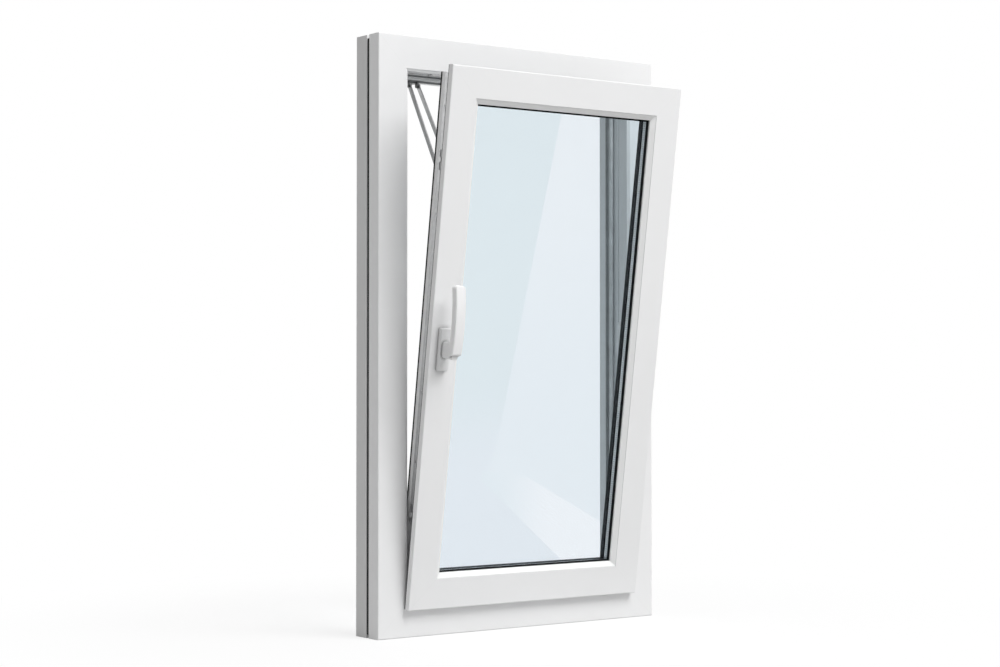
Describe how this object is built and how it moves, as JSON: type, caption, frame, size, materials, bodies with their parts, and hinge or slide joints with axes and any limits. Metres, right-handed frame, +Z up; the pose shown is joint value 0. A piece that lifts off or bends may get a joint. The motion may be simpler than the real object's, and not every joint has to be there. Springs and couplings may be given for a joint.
{
  "type": "tilt and turn window",
  "caption": "White plastic tilt and turn window, double glazed, its sash tipped into the room on stays and its handle pointing up.",
  "frame": {"origin": "on the sill's underside, half way along it and 15 mm behind the frame's room face, on the flat strip in front of the groove", "axes": "+X to the right seen from the room, towards the hinge side; +Y out of doors; +Z up"},
  "size_m": [0.6, 0.2141, 1.02],
  "materials": {
    "frame_plastic": "smooth white, slight sheen",
    "sash_plastic": "smooth white, slight sheen",
    "bead_plastic": "smooth white, slight sheen",
    "seal_rubber": "matt black",
    "seal_grey": "matt light grey",
    "gasket_rubber": "matt black",
    "spacer_metal": "satin mill finish",
    "clear_glass": "clear float glass, faint blue",
    "handle_white": "white powder coat",
    "stay_steel": "zinc plated, satin",
    "bearing_steel": "zinc plated, satin"
  },
  "bodies": {
    "root": {"frame_left_jamb": "frame_plastic", "frame_right_jamb": "frame_plastic", "frame_head": "frame_plastic", "frame_sill": "frame_plastic", "frame_seal": "seal_grey", "groove_tape_left": "seal_rubber", "groove_tape_right": "seal_rubber", "sash_left_stile": "sash_plastic", "sash_right_stile": "sash_plastic", "sash_top_rail": "sash_plastic", "sash_bottom_rail": "sash_plastic", "sash_seal": "seal_rubber", "sash_back_seal": "seal_rubber", "glazing_bead_left": "bead_plastic", "glazing_bead_right": "bead_plastic", "glazing_bead_top": "bead_plastic", "glazing_bead_bottom": "bead_plastic", "inner_glazing_gasket": "gasket_rubber", "outer_glazing_gasket": "gasket_rubber", "glass_spacer": "spacer_metal", "inner_pane": "clear_glass", "outer_pane": "clear_glass", "handle_base": "handle_white", "handle_lever": "handle_white", "stay_arm_left": "stay_steel", "stay_arm_right": "stay_steel", "stay_bracket": "stay_steel", "stay_rail": "stay_steel", "corner_bearing": "bearing_steel", "tilt_bearing": "bearing_steel", "sash_corner_plate": "bearing_steel", "sash_tilt_plate": "bearing_steel", "sash_faceplate": "bearing_steel", "cam_left_lower": "bearing_steel", "cam_left_upper": "bearing_steel", "cam_right": "bearing_steel", "cam_top": "bearing_steel", "keep_left_lower": "bearing_steel", "keep_left_upper": "bearing_steel", "keep_right": "bearing_steel", "keep_top": "bearing_steel", "top_bearing": "bearing_steel", "stay_slider": "bearing_steel", "tilt_stay_arm": "stay_steel"}
  },
  "joints": []
}
